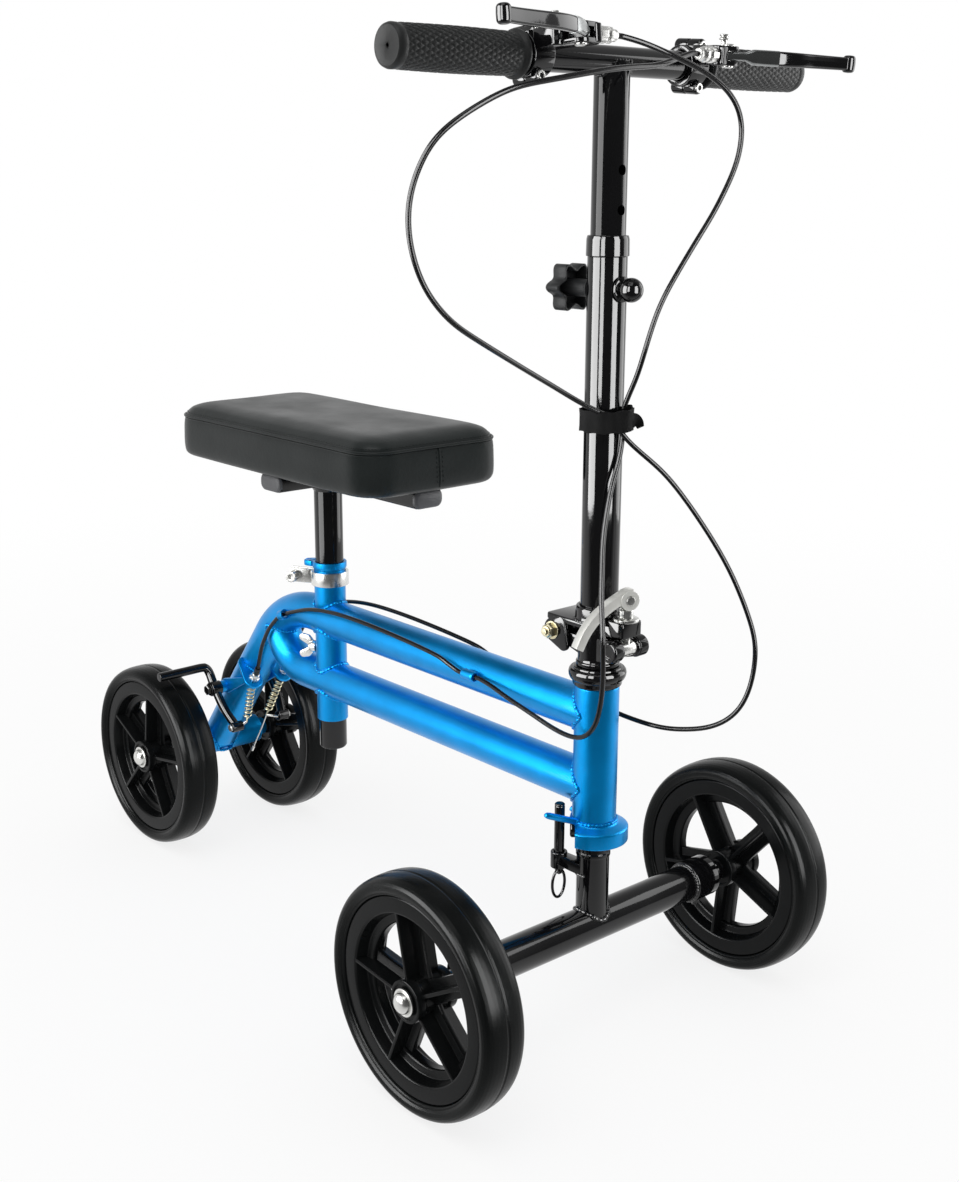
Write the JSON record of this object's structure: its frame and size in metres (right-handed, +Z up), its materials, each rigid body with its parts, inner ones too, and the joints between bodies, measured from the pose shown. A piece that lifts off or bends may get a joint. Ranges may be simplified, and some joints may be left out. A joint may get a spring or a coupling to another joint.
{
  "type": "knee scooter",
  "caption": "Steerable knee scooter with a folding handlebar column, height-adjustable knee pad, rear scrub brakes, hand levers and solid-tyred spoked wheels.",
  "frame": {"origin": "floor level under the middle of the wheelbase", "axes": "+X forward, +Y to the rider's left, +Z up"},
  "size_m": [0.8172, 0.4426, 0.8453],
  "materials": {
    "blue": "metallic blue gloss paint",
    "black_paint": "gloss black paint",
    "zinc": "bright zinc plate",
    "silver_tube": "polished plate",
    "black_plastic": "moulded satin",
    "grey_plastic": "moulded satin",
    "rim_plastic": "moulded semi-gloss",
    "tyre": "solid rubber",
    "grip": "knurled",
    "vinyl": "sewn black vinyl",
    "cable": "smooth sheath"
  },
  "bodies": {
    "frame": {"head_tube": "blue", "upper_frame_tube": "blue", "lower_frame_tube": "blue", "seat_tube": "blue", "rear_cross_tube": "blue", "right_brake_bracket": "blue", "left_brake_bracket": "blue", "upper_headset_cup": "black_paint", "rear_axle": "zinc", "seat_clamp": "zinc", "right_brake_adjuster": "zinc", "left_brake_adjuster": "zinc", "right_cable_rear": "cable", "left_cable_rear": "cable", "right_brake_spring": "zinc", "left_brake_spring": "zinc"},
    "steering": {"fork_steerer": "black_paint", "front_crossbar": "black_paint", "right_front_axle": "zinc", "left_front_axle": "zinc", "lower_fold_bracket": "black_paint", "fold_hinge_bolt": "zinc", "right_cable_middle": "cable", "left_cable_middle": "cable"},
    "lock_pin": {"steering_lock_pin": "black_paint", "lock_pin_ring": "black_paint"},
    "column": {"column_tube": "black_paint", "upper_fold_bracket": "black_paint", "cable_tie": "black_plastic", "column_collar": "black_plastic"},
    "latch": {"latch_bolt": "zinc"},
    "latch_handle": {"latch_lever": "silver_tube"},
    "knob": {"star_knob": "black_plastic"},
    "height_pin": {"height_pull_pin": "black_plastic"},
    "bar": {"handlebar_post": "black_paint", "handlebar": "black_paint", "right_grip": "grip", "left_grip": "grip", "right_lever_clamp": "black_paint", "left_lever_clamp": "black_paint", "right_cable_upper": "cable", "left_cable_upper": "cable"},
    "right_lever": {"right_brake_lever": "black_paint"},
    "left_lever": {"left_brake_lever": "black_paint"},
    "right_button": {"right_parking_button": "zinc"},
    "left_button": {"left_parking_button": "zinc"},
    "right_arm": {"right_brake_arm": "black_paint"},
    "left_arm": {"left_brake_arm": "black_paint"},
    "seat": {"seat_post": "black_paint", "pad_bracket": "grey_plastic", "knee_pad": "vinyl"},
    "wing": {"wing_bolt": "zinc"},
    "front_right_wheel": {"front_right_tyre": "tyre", "front_right_rim": "rim_plastic"},
    "front_left_wheel": {"front_left_tyre": "tyre", "front_left_rim": "rim_plastic"},
    "rear_right_wheel": {"rear_right_tyre": "tyre", "rear_right_rim": "rim_plastic"},
    "rear_left_wheel": {"rear_left_tyre": "tyre", "rear_left_rim": "rim_plastic"}
  },
  "joints": [
    {"name": "steering_turn", "type": "hinge", "parent": "frame", "child": "steering", "pos_m": [0.307, 0, 0.2572], "axis": [0, 0, 1], "range_deg": [-20, 20], "deforming": ["right_cable_middle", "left_cable_middle"]},
    {"name": "column_fold", "type": "hinge", "parent": "steering", "child": "column", "pos_m": [0.272, 0, 0.366], "axis": [0, -1, 0], "range_deg": [0, 40], "deforming": ["right_cable_middle", "left_cable_middle"]},
    {"name": "latch_swing", "type": "hinge", "parent": "steering", "child": "latch", "pos_m": [0.338, 0, 0.361], "axis": [0, 1, 0], "range_deg": [0, 90]},
    {"name": "latch_handle_turn", "type": "hinge", "parent": "latch", "child": "latch_handle", "pos_m": [0.339, 0, 0.403], "axis": [-0.9511, 0.309, 0], "range_deg": [0, 110]},
    {"name": "bar_height", "type": "slide", "parent": "column", "child": "bar", "axis": [0, 0, 1], "range_m": [-0.09, 0.12], "deforming": ["right_cable_upper", "left_cable_upper"]},
    {"name": "star_knob_turn", "type": "hinge", "parent": "column", "child": "knob", "pos_m": [0.307, 0, 0.6495], "axis": [-1, 0, 0], "range_deg": [0, 360]},
    {"name": "height_pin_pull", "type": "slide", "parent": "column", "child": "height_pin", "axis": [1, 0, 0], "range_m": [0, 0.008], "stiffness_N_per_m": 400, "springref_m": -0.008},
    {"name": "right_lever_squeeze", "type": "hinge", "parent": "bar", "child": "right_lever", "pos_m": [0.353, -0.079, 0.829], "axis": [0, 0, -1], "range_deg": [0, 16], "stiffness_Nm_per_rad": 1.2, "springref_deg": -11.46},
    {"name": "right_button_press", "type": "slide", "parent": "bar", "child": "right_button", "axis": [0, 0, -1], "range_m": [0, 0.004], "stiffness_N_per_m": 300, "springref_m": -0.003},
    {"name": "right_brake_turn", "type": "hinge", "parent": "frame", "child": "right_arm", "pos_m": [-0.25023, -0.0364, 0.18352], "axis": [0, -1, 0], "range_deg": [0, 14.5], "deforming": ["right_brake_spring"]},
    {"name": "left_lever_squeeze", "type": "hinge", "parent": "bar", "child": "left_lever", "pos_m": [0.353, 0.079, 0.829], "axis": [0, 0, 1], "range_deg": [0, 16], "stiffness_Nm_per_rad": 1.2, "springref_deg": -11.46},
    {"name": "left_button_press", "type": "slide", "parent": "bar", "child": "left_button", "axis": [0, 0, -1], "range_m": [0, 0.004], "stiffness_N_per_m": 300, "springref_m": -0.003},
    {"name": "left_brake_turn", "type": "hinge", "parent": "frame", "child": "left_arm", "pos_m": [-0.25023, 0.0364, 0.18352], "axis": [0, -1, 0], "range_deg": [0, 14.5], "deforming": ["left_brake_spring"]},
    {"name": "lock_pin_pull", "type": "slide", "parent": "steering", "child": "lock_pin", "axis": [0, 0, -1], "range_m": [0, 0.018], "stiffness_N_per_m": 250, "springref_m": -0.015},
    {"name": "seat_height", "type": "slide", "parent": "frame", "child": "seat", "axis": [0, 0, 1], "range_m": [-0.06, 0.03]},
    {"name": "wing_bolt_turn", "type": "hinge", "parent": "frame", "child": "wing", "pos_m": [-0.077, 0, 0.264], "axis": [-0.866, -0.5, 0], "range_deg": [0, 360]},
    {"name": "front_right_roll", "type": "hinge", "parent": "steering", "child": "front_right_wheel", "pos_m": [0.307, -0.1885, 0.1016], "axis": [0, 1, 0], "continuous": true},
    {"name": "front_left_roll", "type": "hinge", "parent": "steering", "child": "front_left_wheel", "pos_m": [0.307, 0.1885, 0.1016], "axis": [0, 1, 0], "continuous": true},
    {"name": "rear_right_roll", "type": "hinge", "parent": "frame", "child": "rear_right_wheel", "pos_m": [-0.307, -0.0805, 0.1016], "axis": [0, 1, 0], "continuous": true},
    {"name": "rear_left_roll", "type": "hinge", "parent": "frame", "child": "rear_left_wheel", "pos_m": [-0.307, 0.0805, 0.1016], "axis": [0, 1, 0], "continuous": true}
  ],
  "couplings": [
    {"joint": "latch_swing", "follows": "column_fold", "ratio": 2.25},
    {"joint": "right_brake_turn", "follows": "right_lever_squeeze", "ratio": 0.9},
    {"joint": "left_brake_turn", "follows": "left_lever_squeeze", "ratio": 0.9}
  ]
}
